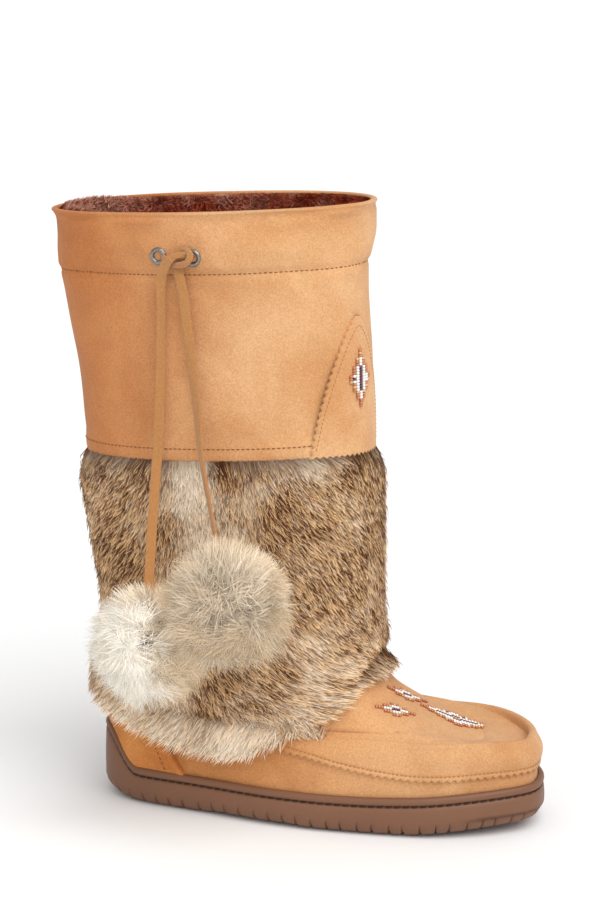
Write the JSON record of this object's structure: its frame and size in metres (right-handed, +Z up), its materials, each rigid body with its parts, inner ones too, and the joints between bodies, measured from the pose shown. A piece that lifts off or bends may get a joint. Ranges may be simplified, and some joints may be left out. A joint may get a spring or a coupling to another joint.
{
  "type": "mukluk boot",
  "caption": "Right mukluk boot with suede foot and leg, pinked vamp, fur band round the ankle, cup sole, and a drawstring ending in pompoms",
  "frame": {"origin": "on the floor, at the middle of the heel's flat spot", "axes": "+X to the toe, +Y to the inner side of the right foot, +Z up"},
  "size_m": [0.3032, 0.188, 0.3745],
  "materials": {
    "sole_rubber": "matt dark brown rubber",
    "fleece": "plush pile",
    "suede": "tan suede nap",
    "fur": "brown and grey fur",
    "antique_silver": "aged silver",
    "drawstring": "flat woven tan cord",
    "pompom_fur": "cream and grey fur"
  },
  "bodies": {
    "root": {"outsole": "sole_rubber", "insole": "fleece", "upper": "suede", "vamp": "suede", "heel_counter": "suede", "front_tab": "suede", "fur_band": "fur", "eyelet_rear": "antique_silver", "eyelet_front": "antique_silver", "drawstring_knot": "drawstring", "drawstring_rear": "drawstring", "drawstring_front": "drawstring", "pompom_lower": "pompom_fur", "pompom_upper": "pompom_fur"}
  },
  "joints": []
}
